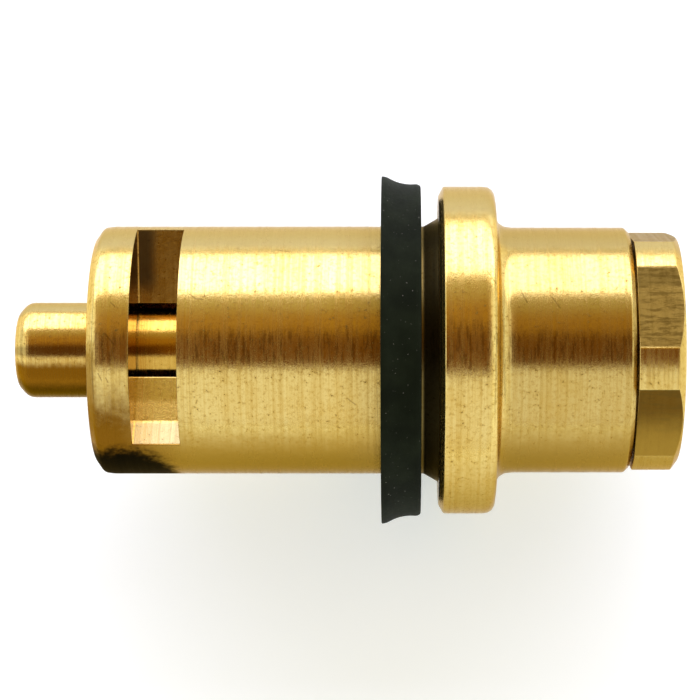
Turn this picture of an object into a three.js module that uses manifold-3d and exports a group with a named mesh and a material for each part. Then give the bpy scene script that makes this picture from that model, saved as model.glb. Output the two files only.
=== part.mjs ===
// Cartridge of a diverter valve: a turned brass barrel with a flange, a hexagon plug
// screwed into its rear end, and a spring-loaded push rod that comes out of its nose.
// Millimetres, +Z up. +X runs along the axis from the nose pin to the hexagon plug.
// The origin is on the axis, in the plane of the flange's nose-side face, and the
// side slot is cut square to +Z.
import * as THREE from "three";
import { mergeVertices } from "three/addons/utils/BufferGeometryUtils.js";
import Module from "manifold-3d";

// ---- clearances -------------------------------------------------------------
const SEAT_GAP = 0.3; // between faces that rest on each other
const RUN_GAP = 0.25; // rod head in its guide bore, all round
const SEAL_GAP = 0.1; // seal ring to the rod or groove it closes
const LOOSE_GAP = 0.2; // washers and rings to the bore they lie in
const GROOVE_GAP = 0.15; // clip to the sides of its groove

// ---- push rod ---------------------------------------------------------------
const HEAD_RADIUS = 4.65; // the pin that stands out of the nose
const PIN_STANDOUT = 7.8; // pin tip to nose face, at rest
const PIN_CHAMFER_LENGTH = 1.0;
const PIN_CHAMFER_DEPTH = 1.2;
const HEAD_ENGAGEMENT = 3.6; // head left inside the nose, at rest
const HEAD_EDGE = 0.3;
const NECK_STEP = 0.55; // head to the neck seen in the slot
const MID_STEP = 0.5; // neck to the part that carries the spring seat
const TAIL_STEP = 1.2; // middle to the thin stem
const SHOULDER_RIM = 2.1; // shoulder beyond the neck
const SHOULDER_THICKNESS = 2.0;
const STEM_RECESS = 1.0; // stem end below the plug's face, at rest
const STEM_EDGE = 0.4;
const STROKE = 5.5; // travel of the rod into the barrel
const STROKE_MARGIN = 0.5; // left in front of the rear seat at full stroke

// ---- gland that seals the rod ----------------------------------------------
const SEAL_SECTION = 2.8; // thickness of each rod seal
const WASHER_THICKNESS = 1.0;
const CIRCLIP_THICKNESS = 1.0;
const CIRCLIP_GROOVE_DEPTH = 0.6;
const CIRCLIP_WIDTH = 2.0; // radial width of the ring
const CIRCLIP_LUG = 0.5; // lugs reach this much further in
const CIRCLIP_LUG_ANGLE = 15; // degrees
const CIRCLIP_LUG_HOLE = 0.45;
const CIRCLIP_HALF_OPENING = 22; // degrees
const GROOVE_LAND = 0.65; // wall between clip groove and spring chamber

// ---- spring and its seats ---------------------------------------------------
const CHAMBER_STEP = 1.4; // gland bore to spring chamber, radially
const SPRING_WIRE = 1.2;
const SPRING_SIDE_GAP = 1.0; // spring to chamber wall
const SPRING_TURNS = 6.5;
const SPRING_END_PITCH = 1.38; // closed end turns
const SPRING_GROUND = 0.3; // taken off each end turn
const FRONT_SEAT_THICKNESS = 1.0;
const REAR_SEAT_THICKNESS = 1.1;
const E_CLIP_THICKNESS = 0.8;
const E_CLIP_RIM = 1.9; // clip beyond the rod it sits on
const E_CLIP_GROOVE_DEPTH = 0.6;
const E_CLIP_HALF_OPENING = 35; // degrees

// ---- valve body -------------------------------------------------------------
const BARREL_LENGTH = 33.2; // flange face to nose face
const BARREL_WALL = 3.5; // round the spring chamber
const NOSE_CHAMFER = 1.2;
const BORE_EDGE = 0.3;
const NOSE_WEB = 4.1; // nose face to slot
const SLOT_WIDTH = 4.5;
const SLOT_CUTTER_RADIUS = 21.2;
const SLOT_BITE = 2.1; // how deep the slot opens the guide bore
const GUIDE_LAND = 4.6; // slot to gland
const COLLAR_LENGTH = 1.4;
const COLLAR_RISE = 0.8;
const FLANGE_RADIUS = 16.0;
const FLANGE_THICKNESS = 5.5;
const FLANGE_BEVEL_LENGTH = 0.5;
const FLANGE_BEVEL_DEPTH = 0.9;
const FLANGE_ROUND = 1.2;
const FLANGE_FILLET = 0.8;
const BOSS_LENGTH = 13.0; // flange to the end of the boss
const BOSS_WALL = 2.0; // round the plug
const BOSS_CHAMFER = 0.8;

// ---- end plug ---------------------------------------------------------------
const PLUG_STEP = 1.4; // spring chamber to plug bore, radially
const PLUG_BORE_DEPTH = 6.5;
const PLUG_FLOOR_GAP = 0.4;
const PLUG_THREAD_GAP = 0.3;
const PLUG_JOINT = 0.2; // open line between boss and plug head
const PLUG_HEAD_LENGTH = 4.5;
const PLUG_HEAD_SETBACK = 0.1; // head below the boss, radially
const PLUG_HEX_CUT = 0.9; // depth of each flat below the round
const PLUG_HEX_TURN = 96; // degrees from -Y towards +Z
const PLUG_CHAMFER_LENGTH = 1.1;
const PLUG_CHAMFER_DEPTH = 1.6;
const PLUG_RING_SECTION = 1.6;
const PLUG_RING_BACK = 1.1; // joint line to the ring groove
const STEM_HOLE_GAP = 0.2;
const STEM_SEAL_SECTION = 1.6;
const STEM_WASHER_THICKNESS = 0.8;
const BUSH_WALL = 0.9;
const BUSH_LENGTH = 3.4;

// ---- rubber ring ------------------------------------------------------------
const GASKET_THICKNESS = 3.8;
const GASKET_COLLAR_GAP = 0.3;
const GASKET_OVERHANG = 1.0; // lip beyond the flange
const GASKET_WAIST = 0.8; // hollow of its outer face
const GASKET_REAR_DROP = 0.7; // rear edge below the lip

// ---- fineness ---------------------------------------------------------------
const BODY_SIDES = 48;
const SMALL_SIDES = 40;
const RING_SIDES = 36;
const SECTION_SIDES = 8;
const ARC_STEPS = 3;
const CUTTER_SIDES = 120;
const SPRING_STEPS_PER_TURN = 16;

// ---- radii that follow, from the rod outwards -------------------------------
const guideRadius = HEAD_RADIUS + RUN_GAP;
const neckRadius = HEAD_RADIUS - NECK_STEP;
const midRadius = neckRadius - MID_STEP;
const stemRadius = midRadius - TAIL_STEP;
const shoulderRadius = neckRadius + SHOULDER_RIM;
const glandRadius = neckRadius + SEAL_GAP + SEAL_SECTION + LOOSE_GAP;
const chamberRadius = glandRadius + CHAMBER_STEP;
const plugBoreRadius = chamberRadius + PLUG_STEP;
const barrelRadius = chamberRadius + BARREL_WALL;
const bossRadius = plugBoreRadius + BOSS_WALL;
const spigotRadius = plugBoreRadius - PLUG_THREAD_GAP;
const plugHeadRadius = bossRadius - PLUG_HEAD_SETBACK;
const springRadius = chamberRadius - SPRING_SIDE_GAP - SPRING_WIRE / 2;

// ---- places along the axis that follow --------------------------------------
const noseX = -BARREL_LENGTH;
const slotX = noseX + NOSE_WEB;
const glandFloorX = slotX + SLOT_WIDTH + GUIDE_LAND;
const frontWasherX = glandFloorX + SEAT_GAP;
const frontSealX = frontWasherX + WASHER_THICKNESS + SEAT_GAP;
const spacerX = frontSealX + SEAL_SECTION + SEAT_GAP;
const rearSealX = spacerX + WASHER_THICKNESS + SEAT_GAP;
const rearWasherX = rearSealX + SEAL_SECTION + SEAT_GAP;
const circlipX = rearWasherX + WASHER_THICKNESS + SEAT_GAP;
const circlipEndX = circlipX + CIRCLIP_THICKNESS;
const glandMouthX = circlipEndX + GROOVE_GAP + GROOVE_LAND;
const shoulderX = circlipEndX + SEAT_GAP;
const frontSeatX = shoulderX + SHOULDER_THICKNESS + SEAT_GAP;
const eClipX = frontSeatX + FRONT_SEAT_THICKNESS + SEAT_GAP;
const bossEndX = FLANGE_THICKNESS + BOSS_LENGTH;
const plugStepX = bossEndX - PLUG_BORE_DEPTH;
const spigotX = plugStepX + PLUG_FLOOR_GAP;
const plugHeadX = bossEndX + PLUG_JOINT;
const plugEndX = plugHeadX + PLUG_HEAD_LENGTH;
const rearSeatX = spigotX - SEAT_GAP - REAR_SEAT_THICKNESS;
const springX = frontSeatX + FRONT_SEAT_THICKNESS + SEAT_GAP;
const springEndX = rearSeatX - SEAT_GAP;
const midEndX = rearSeatX - STROKE_MARGIN - STROKE;

const wasm = await Module();
wasm.setup();

const group = new THREE.Group();
const brass = { color: 0xc79b45, roughness: 0.32, metalness: 1.0 };
const rodBrass = { color: 0xb98a35, roughness: 0.28, metalness: 1.0 };
const steel = { color: 0xa9a9a6, roughness: 0.35, metalness: 1.0 };
const springSteel = { color: 0x8f8f8c, roughness: 0.3, metalness: 1.0 };
const rubber = { color: 0x1a1b18, roughness: 0.8, metalness: 0.0 };
const plastic = { color: 0xe4e0d4, roughness: 0.5, metalness: 0.0 };

function addMesh(name, geometry, look) {
  const mesh = new THREE.Mesh(geometry, new THREE.MeshStandardMaterial(look));
  mesh.name = name;
  group.add(mesh);
}

// A solid of revolution about X. The profile lists [x, radius] pairs, and it either
// starts and ends on the axis or closes on itself. Its signed area sets its direction.
function turned(profile, sides, closed) {
  const ring = closed ? [...profile, profile[0]] : profile;
  let area = 0;
  ring.forEach(([x, r], i) => {
    const [nextX, nextR] = ring[(i + 1) % ring.length];
    area += x * nextR - nextX * r;
  });
  const ordered = area > 0 ? [...ring].reverse() : ring;
  const points = ordered.map(([x, r]) => new THREE.Vector2(r, x));
  const geometry = new THREE.LatheGeometry(points, sides);
  geometry.rotateZ(-Math.PI / 2);
  return geometry;
}

// A quarter round in a profile: from one angle to another about a centre.
function arc(centreX, centreR, radius, fromDegrees, toDegrees) {
  return Array.from({ length: ARC_STEPS + 1 }, (_, i) => {
    const degrees = fromDegrees + ((toDegrees - fromDegrees) * i) / ARC_STEPS;
    const angle = THREE.MathUtils.degToRad(degrees);
    return [centreX + radius * Math.cos(angle), centreR + radius * Math.sin(angle)];
  });
}

// A flat ring with square edges.
function washer(startX, thickness, innerRadius, outerRadius) {
  const endX = startX + thickness;
  return turned(
    [
      [startX, innerRadius],
      [startX, outerRadius],
      [endX, outerRadius],
      [endX, innerRadius],
    ],
    RING_SIDES,
    true,
  );
}

// A ring of round section that starts at startX and rests on innerRadius.
function sealRing(startX, section, innerRadius) {
  const half = section / 2;
  const profile = Array.from({ length: SECTION_SIDES }, (_, i) => {
    const angle = (2 * Math.PI * (i + 0.5)) / SECTION_SIDES;
    return [startX + half + half * Math.cos(angle), innerRadius + half + half * Math.sin(angle)];
  });
  return turned(profile, RING_SIDES, true);
}

function toSolid(geometry) {
  const bare = geometry.clone();
  bare.deleteAttribute("normal");
  bare.deleteAttribute("uv");
  const merged = mergeVertices(bare, 1e-4);
  return new wasm.Manifold(
    new wasm.Mesh({
      numProp: 3,
      vertProperties: merged.attributes.position.array,
      triVerts: new Uint32Array(merged.index.array),
    }),
  );
}

function toGeometry(solid) {
  const mesh = solid.getMesh();
  const geometry = new THREE.BufferGeometry();
  geometry.setAttribute("position", new THREE.BufferAttribute(mesh.vertProperties, 3));
  geometry.setIndex(new THREE.BufferAttribute(mesh.triVerts, 1));
  geometry.computeVertexNormals();
  return geometry;
}

// A flat shape in the YZ plane, drawn with its own x along +Y and its own y along +Z,
// made into a plate that starts at startX.
function plate(shape, startX, thickness) {
  const geometry = new THREE.ExtrudeGeometry(shape, {
    depth: thickness,
    bevelEnabled: false,
    curveSegments: 20,
  });
  geometry.rotateX(Math.PI / 2);
  geometry.rotateZ(Math.PI / 2);
  geometry.translate(startX, 0, 0);
  return geometry;
}

function valveBody() {
  const flangeCorner = Math.min(FLANGE_ROUND, (FLANGE_RADIUS - bossRadius) / 3);
  const fillet = Math.min(FLANGE_FILLET, (FLANGE_RADIUS - bossRadius) / 3);
  const grooveRadius = glandRadius + CIRCLIP_GROOVE_DEPTH;
  const profile = [
    [noseX, guideRadius + BORE_EDGE],
    [noseX, barrelRadius - NOSE_CHAMFER],
    [noseX + NOSE_CHAMFER, barrelRadius],
    [-COLLAR_LENGTH, barrelRadius],
    [0, barrelRadius + COLLAR_RISE],
    [0, FLANGE_RADIUS - FLANGE_BEVEL_DEPTH],
    [FLANGE_BEVEL_LENGTH, FLANGE_RADIUS],
    ...arc(FLANGE_THICKNESS - flangeCorner, FLANGE_RADIUS - flangeCorner, flangeCorner, 90, 0),
    ...arc(FLANGE_THICKNESS + fillet, bossRadius + fillet, fillet, 180, 270),
    [bossEndX - BOSS_CHAMFER, bossRadius],
    [bossEndX, bossRadius - BOSS_CHAMFER],
    [bossEndX, plugBoreRadius + BORE_EDGE],
    [bossEndX - BORE_EDGE, plugBoreRadius],
    [plugStepX, plugBoreRadius],
    [plugStepX, chamberRadius],
    [glandMouthX, chamberRadius],
    [glandMouthX, glandRadius],
    [circlipEndX + GROOVE_GAP, glandRadius],
    [circlipEndX + GROOVE_GAP, grooveRadius],
    [circlipX - GROOVE_GAP, grooveRadius],
    [circlipX - GROOVE_GAP, glandRadius],
    [glandFloorX, glandRadius],
    [glandFloorX, guideRadius],
    [noseX + BORE_EDGE, guideRadius],
  ];
  const floorZ = guideRadius - SLOT_BITE;
  const cutter = new THREE.CylinderGeometry(
    SLOT_CUTTER_RADIUS,
    SLOT_CUTTER_RADIUS,
    SLOT_WIDTH,
    CUTTER_SIDES,
  );
  cutter.rotateZ(-Math.PI / 2);
  cutter.translate(slotX + SLOT_WIDTH / 2, 0, floorZ + SLOT_CUTTER_RADIUS);
  return toGeometry(toSolid(turned(profile, BODY_SIDES, true)).subtract(toSolid(cutter)));
}

function plungerRod() {
  const tipX = noseX - PIN_STANDOUT;
  const headEndX = noseX + HEAD_ENGAGEMENT;
  const grooveRadius = midRadius - E_CLIP_GROOVE_DEPTH;
  const stemEndX = plugEndX - STEM_RECESS;
  return turned(
    [
      [tipX, 0],
      [tipX, HEAD_RADIUS - PIN_CHAMFER_DEPTH],
      [tipX + PIN_CHAMFER_LENGTH, HEAD_RADIUS],
      [headEndX - HEAD_EDGE, HEAD_RADIUS],
      [headEndX, HEAD_RADIUS - HEAD_EDGE],
      [headEndX, neckRadius],
      [shoulderX, neckRadius],
      [shoulderX, shoulderRadius],
      [shoulderX + SHOULDER_THICKNESS, shoulderRadius],
      [shoulderX + SHOULDER_THICKNESS, midRadius],
      [eClipX - GROOVE_GAP, midRadius],
      [eClipX - GROOVE_GAP, grooveRadius],
      [eClipX + E_CLIP_THICKNESS + GROOVE_GAP, grooveRadius],
      [eClipX + E_CLIP_THICKNESS + GROOVE_GAP, midRadius],
      [midEndX - STEM_EDGE, midRadius],
      [midEndX, midRadius - STEM_EDGE],
      [midEndX, stemRadius],
      [stemEndX - STEM_EDGE, stemRadius],
      [stemEndX, stemRadius - STEM_EDGE],
      [stemEndX, 0],
    ],
    SMALL_SIDES,
    false,
  );
}

// The gland: washer, seal, spacer, seal, washer, all of them round the rod's neck.
function glandPieces() {
  const inner = neckRadius + SEAT_GAP;
  const outer = glandRadius - LOOSE_GAP;
  const sealInner = neckRadius + SEAL_GAP;
  addMesh("gland_washer_front", washer(frontWasherX, WASHER_THICKNESS, inner, outer), steel);
  addMesh("rod_seal_front", sealRing(frontSealX, SEAL_SECTION, sealInner), rubber);
  addMesh("gland_spacer", washer(spacerX, WASHER_THICKNESS, inner, outer), plastic);
  addMesh("rod_seal_rear", sealRing(rearSealX, SEAL_SECTION, sealInner), rubber);
  addMesh("gland_washer_rear", washer(rearWasherX, WASHER_THICKNESS, inner, outer), steel);
}

// An inside snap ring: an open ring whose two ends widen into lugs with plier holes.
function glandCirclip() {
  const outer = glandRadius + CIRCLIP_GROOVE_DEPTH - GROOVE_GAP;
  const inner = outer - CIRCLIP_WIDTH;
  const lugInner = inner - CIRCLIP_LUG;
  const start = THREE.MathUtils.degToRad(90 + CIRCLIP_HALF_OPENING);
  const end = THREE.MathUtils.degToRad(450 - CIRCLIP_HALF_OPENING);
  const lug = THREE.MathUtils.degToRad(CIRCLIP_LUG_ANGLE);
  const shape = new THREE.Shape();
  shape.absarc(0, 0, outer, start, end, false);
  shape.absarc(0, 0, lugInner, end, end - lug, true);
  shape.absarc(0, 0, inner, end - lug, start + lug, true);
  shape.absarc(0, 0, lugInner, start + lug, start, true);
  for (const angle of [start + lug / 2, end - lug / 2]) {
    const holeRadius = (lugInner + outer) / 2;
    const hole = new THREE.Path();
    hole.absarc(
      holeRadius * Math.cos(angle),
      holeRadius * Math.sin(angle),
      CIRCLIP_LUG_HOLE,
      0,
      2 * Math.PI,
      true,
    );
    shape.holes.push(hole);
  }
  return plate(shape, circlipX, CIRCLIP_THICKNESS);
}

// An open clip pushed into the rod's groove from the side.
function rodEClip() {
  const outer = midRadius + E_CLIP_RIM;
  const inner = midRadius - E_CLIP_GROOVE_DEPTH + SEAL_GAP;
  const start = THREE.MathUtils.degToRad(90 + E_CLIP_HALF_OPENING);
  const end = THREE.MathUtils.degToRad(450 - E_CLIP_HALF_OPENING);
  const shape = new THREE.Shape();
  shape.absarc(0, 0, outer, start, end, false);
  shape.absarc(0, 0, inner, end, start, true);
  return plate(shape, eClipX, E_CLIP_THICKNESS);
}

// A wire of round section wound about X, with closed end turns ground flat.
function returnSpring() {
  const startX = springX + SPRING_WIRE / 2 - SPRING_GROUND;
  const length = springEndX - springX - SPRING_WIRE + 2 * SPRING_GROUND;
  const middlePitch = (length - 2 * SPRING_END_PITCH) / (SPRING_TURNS - 2);
  const steps = Math.round(SPRING_TURNS * SPRING_STEPS_PER_TURN);
  const centreAt = (i) => {
    const turn = (SPRING_TURNS * i) / steps;
    const first = Math.min(turn, 1) * SPRING_END_PITCH;
    const last = Math.max(turn - (SPRING_TURNS - 1), 0) * SPRING_END_PITCH;
    const middle = Math.min(Math.max(turn - 1, 0), SPRING_TURNS - 2) * middlePitch;
    const angle = 2 * Math.PI * turn;
    return new THREE.Vector3(
      startX + first + middle + last,
      springRadius * Math.cos(angle),
      springRadius * Math.sin(angle),
    );
  };
  const positions = [];
  const indices = [];
  for (let i = 0; i <= steps; i++) {
    const centre = centreAt(i);
    const along = centreAt(Math.min(i + 1, steps)).sub(centreAt(Math.max(i - 1, 0))).normalize();
    const outward = new THREE.Vector3(0, centre.y, centre.z).normalize();
    const side = new THREE.Vector3().crossVectors(along, outward).normalize();
    for (let j = 0; j < SECTION_SIDES; j++) {
      const angle = (2 * Math.PI * j) / SECTION_SIDES;
      const point = centre
        .clone()
        .addScaledVector(outward, (SPRING_WIRE / 2) * Math.cos(angle))
        .addScaledVector(side, (SPRING_WIRE / 2) * Math.sin(angle));
      positions.push(point.x, point.y, point.z);
    }
  }
  for (let i = 0; i < steps; i++) {
    for (let j = 0; j < SECTION_SIDES; j++) {
      const a = i * SECTION_SIDES + j;
      const b = i * SECTION_SIDES + ((j + 1) % SECTION_SIDES);
      const c = a + SECTION_SIDES;
      const d = b + SECTION_SIDES;
      indices.push(a, b, c, b, d, c);
    }
  }
  for (let j = 1; j < SECTION_SIDES - 1; j++) {
    const last = steps * SECTION_SIDES;
    indices.push(0, j + 1, j);
    indices.push(last, last + j, last + j + 1);
  }
  const wire = new THREE.BufferGeometry();
  wire.setAttribute("position", new THREE.Float32BufferAttribute(positions, 3));
  wire.setIndex(indices);
  const reach = 3 * springRadius;
  const ground = new THREE.BoxGeometry(springEndX - springX, reach, reach);
  ground.translate((springX + springEndX) / 2, 0, 0);
  return toGeometry(toSolid(wire).intersect(toSolid(ground)));
}

// The plug: a threaded spigot with a ring groove, and a round head with six flats.
function endPlug() {
  const ringFloor = plugBoreRadius - LOOSE_GAP - PLUG_RING_SECTION - SEAL_GAP;
  const grooveEndX = plugHeadX - PLUG_RING_BACK;
  const grooveX = grooveEndX - PLUG_RING_SECTION - 2 * LOOSE_GAP;
  const sealBore = stemRadius + 2 * SEAL_GAP + STEM_SEAL_SECTION;
  const sealFloorX = spigotX + STEM_WASHER_THICKNESS + STEM_SEAL_SECTION + 2 * SEAT_GAP + SEAL_GAP;
  const bushBore = stemRadius + SEAL_GAP + BUSH_WALL + LOOSE_GAP;
  const bushFloorX = plugEndX - BUSH_LENGTH - 2 * SEAT_GAP;
  const profile = [
    [spigotX, sealBore],
    [spigotX, spigotRadius - BORE_EDGE],
    [spigotX + BORE_EDGE, spigotRadius],
    [grooveX, spigotRadius],
    [grooveX, ringFloor],
    [grooveEndX, ringFloor],
    [grooveEndX, spigotRadius],
    [plugHeadX, spigotRadius],
    [plugHeadX, plugHeadRadius],
    [plugEndX - PLUG_CHAMFER_LENGTH, plugHeadRadius],
    [plugEndX, plugHeadRadius - PLUG_CHAMFER_DEPTH],
    [plugEndX, bushBore],
    [bushFloorX, bushBore],
    [bushFloorX, stemRadius + STEM_HOLE_GAP],
    [sealFloorX, stemRadius + STEM_HOLE_GAP],
    [sealFloorX, sealBore],
  ];
  let solid = toSolid(turned(profile, BODY_SIDES, true));
  const flatDistance = plugHeadRadius - PLUG_HEX_CUT;
  for (let k = 0; k < 6; k++) {
    const block = new THREE.BoxGeometry(2 * PLUG_HEAD_LENGTH, 2 * bossRadius, bossRadius);
    block.translate(plugHeadX + PLUG_HEAD_LENGTH, 0, flatDistance + bossRadius / 2);
    block.rotateX(THREE.MathUtils.degToRad(90 - PLUG_HEX_TURN - 60 * k));
    solid = solid.subtract(toSolid(block));
  }
  return toGeometry(solid);
}

function plugPieces() {
  const ringInner = plugBoreRadius - LOOSE_GAP - PLUG_RING_SECTION;
  const ringX = plugHeadX - PLUG_RING_BACK - LOOSE_GAP - PLUG_RING_SECTION;
  const washerX = spigotX + SEAL_GAP;
  const sealX = washerX + STEM_WASHER_THICKNESS + SEAT_GAP;
  const bushX = plugEndX - SEAT_GAP - BUSH_LENGTH;
  const stemInner = stemRadius + SEAL_GAP;
  const washerOuter = stemRadius + SEAL_GAP + STEM_SEAL_SECTION;
  addMesh("end_plug", endPlug(), brass);
  addMesh("plug_o_ring", sealRing(ringX, PLUG_RING_SECTION, ringInner), rubber);
  addMesh(
    "stem_seal_washer",
    washer(washerX, STEM_WASHER_THICKNESS, stemRadius + STEM_HOLE_GAP, washerOuter),
    steel,
  );
  addMesh("stem_seal", sealRing(sealX, STEM_SEAL_SECTION, stemInner), rubber);
  addMesh("stem_guide_bush", washer(bushX, BUSH_LENGTH, stemInner, stemInner + BUSH_WALL), plastic);
}

function springSeats() {
  const outer = chamberRadius - 2 * LOOSE_GAP;
  const frontInner = midRadius + LOOSE_GAP;
  const rearInner = stemRadius + 2 * LOOSE_GAP;
  addMesh("spring_front_seat", washer(frontSeatX, FRONT_SEAT_THICKNESS, frontInner, outer), steel);
  addMesh("spring_rear_seat", washer(rearSeatX, REAR_SEAT_THICKNESS, rearInner, outer), steel);
}

// The rubber ring that the flange presses on its seat: a high front lip, a hollow
// outer face and a lower rear edge.
function flangeGasket() {
  const endX = -COLLAR_LENGTH - GASKET_COLLAR_GAP;
  const startX = endX - GASKET_THICKNESS;
  const inner = barrelRadius + LOOSE_GAP;
  const lip = FLANGE_RADIUS + GASKET_OVERHANG;
  const at = (share) => startX + share * GASKET_THICKNESS;
  return turned(
    [
      [startX, inner],
      [startX, lip - 0.15],
      [at(0.04), lip],
      [at(0.14), lip - 0.05],
      [at(0.35), lip - 0.62 * GASKET_WAIST],
      [at(0.6), lip - 0.94 * GASKET_WAIST],
      [at(0.82), lip - GASKET_WAIST],
      [at(0.96), lip - GASKET_REAR_DROP],
      [endX, lip - GASKET_REAR_DROP - 0.15],
      [endX, inner],
    ],
    BODY_SIDES,
    true,
  );
}

addMesh("valve_body", valveBody(), brass);
addMesh("plunger_rod", plungerRod(), rodBrass);
glandPieces();
addMesh("gland_circlip", glandCirclip(), springSteel);
springSeats();
addMesh("rod_e_clip", rodEClip(), springSteel);
addMesh("return_spring", returnSpring(), springSteel);
plugPieces();
addMesh("flange_gasket", flangeGasket(), rubber);

export default group;
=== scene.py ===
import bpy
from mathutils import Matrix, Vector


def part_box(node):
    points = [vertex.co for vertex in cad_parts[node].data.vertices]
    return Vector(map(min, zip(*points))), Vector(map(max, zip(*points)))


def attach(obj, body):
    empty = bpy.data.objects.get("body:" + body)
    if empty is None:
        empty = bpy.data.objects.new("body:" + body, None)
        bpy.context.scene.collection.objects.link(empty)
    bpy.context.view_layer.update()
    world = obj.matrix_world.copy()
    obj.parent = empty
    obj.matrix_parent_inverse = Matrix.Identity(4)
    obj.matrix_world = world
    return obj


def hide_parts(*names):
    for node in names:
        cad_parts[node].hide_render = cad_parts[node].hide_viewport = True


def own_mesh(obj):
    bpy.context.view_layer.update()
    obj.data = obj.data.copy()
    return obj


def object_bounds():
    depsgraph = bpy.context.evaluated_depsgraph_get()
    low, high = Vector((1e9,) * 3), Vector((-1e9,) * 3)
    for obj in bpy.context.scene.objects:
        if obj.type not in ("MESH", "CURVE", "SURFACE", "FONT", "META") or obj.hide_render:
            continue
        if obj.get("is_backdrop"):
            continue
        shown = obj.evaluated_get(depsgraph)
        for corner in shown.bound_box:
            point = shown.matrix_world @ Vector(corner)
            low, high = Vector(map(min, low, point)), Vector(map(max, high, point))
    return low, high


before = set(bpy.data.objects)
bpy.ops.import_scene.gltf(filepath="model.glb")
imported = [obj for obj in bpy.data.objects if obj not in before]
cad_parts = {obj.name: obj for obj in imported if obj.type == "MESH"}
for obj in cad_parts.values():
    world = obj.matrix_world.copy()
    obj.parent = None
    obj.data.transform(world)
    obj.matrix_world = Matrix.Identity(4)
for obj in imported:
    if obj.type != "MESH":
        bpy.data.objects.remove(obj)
cad_low, cad_high = (list(corner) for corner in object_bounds())

import math
import bpy
import bmesh
import numpy as np

MM = 0.001

# ---------------------------------------------------------------------------------------
# The view and the light. The cartridge lies on a pale table and is seen from almost
# straight above. A large soft window of light stands behind it and a weaker one in front,
# and the room overhead is dim and warm, which gives turned brass its brown middle band.
# ---------------------------------------------------------------------------------------
VIEW_ELEVATION = math.radians(75.0)
VIEW_DISTANCE = 249.0 * MM
VIEW_X = -3.6 * MM
VIEW_LENS = 130.6
VIEW_SHIFT = (-0.073, 0.0)

camera_data = bpy.data.cameras.new("view_camera")
camera_data.sensor_width = 36.0
camera_data.lens = VIEW_LENS
camera_data.shift_x, camera_data.shift_y = VIEW_SHIFT
camera_data.clip_start = 0.01
camera = bpy.data.objects.new("view_camera", camera_data)
camera.location = (
    VIEW_X,
    -VIEW_DISTANCE * math.cos(VIEW_ELEVATION),
    VIEW_DISTANCE * math.sin(VIEW_ELEVATION),
)
camera.rotation_euler = (math.pi / 2 - VIEW_ELEVATION, 0.0, 0.0)
bpy.context.scene.collection.objects.link(camera)
bpy.context.scene.camera = camera


def light_panel(name, low, high, distance, width, radiance, colour):
    """An upright rectangle of light whose lower and upper edges are seen from the part at
    those two elevations in degrees. Returns it, not yet placed, and its middle's height."""
    bottom = distance * math.tan(math.radians(low))
    top = distance * math.tan(math.radians(high))
    data = bpy.data.lights.new(name, "AREA")
    data.shape = "RECTANGLE"
    data.size, data.size_y = width, top - bottom
    data.energy = radiance * math.pi * width * (top - bottom)
    data.color = colour
    light = bpy.data.objects.new(name, data)
    bpy.context.scene.collection.objects.link(light)
    return light, (bottom + top) / 2


def soft_window(name, side, low, high, distance, *rest):
    """A panel on the +Y (side 1) or -Y (side -1) side of the part, facing it."""
    light, middle = light_panel(name, low, high, distance, *rest)
    light.location = (0.0, side * distance, middle)
    light.rotation_euler = (side * math.radians(-90.0), 0.0, 0.0)


def end_window(name, side, low, high, distance, *rest):
    """A panel past the plug (side 1) or past the nose (side -1), facing the part."""
    light, middle = light_panel(name, low, high, distance, *rest)
    light.location = (side * distance, 0.0, middle)
    light.rotation_euler = (math.radians(90.0), 0.0, side * math.radians(90.0))


soft_window("back_window", 1, 6.0, 50.8, 0.6, 1.8, 3.0, (0.96, 0.95, 1.30))
soft_window("front_window", -1, -1.4, 59.0, 0.6, 1.8, 0.94, (0.91, 0.99, 1.03))
end_window("nose_end_window", -1, 10.0, 60.0, 0.7, 1.0, 0.7, (0.98, 0.99, 1.0))
end_window("plug_end_window", 1, 10.0, 60.0, 0.7, 1.0, 0.7, (0.98, 0.99, 1.0))


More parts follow.
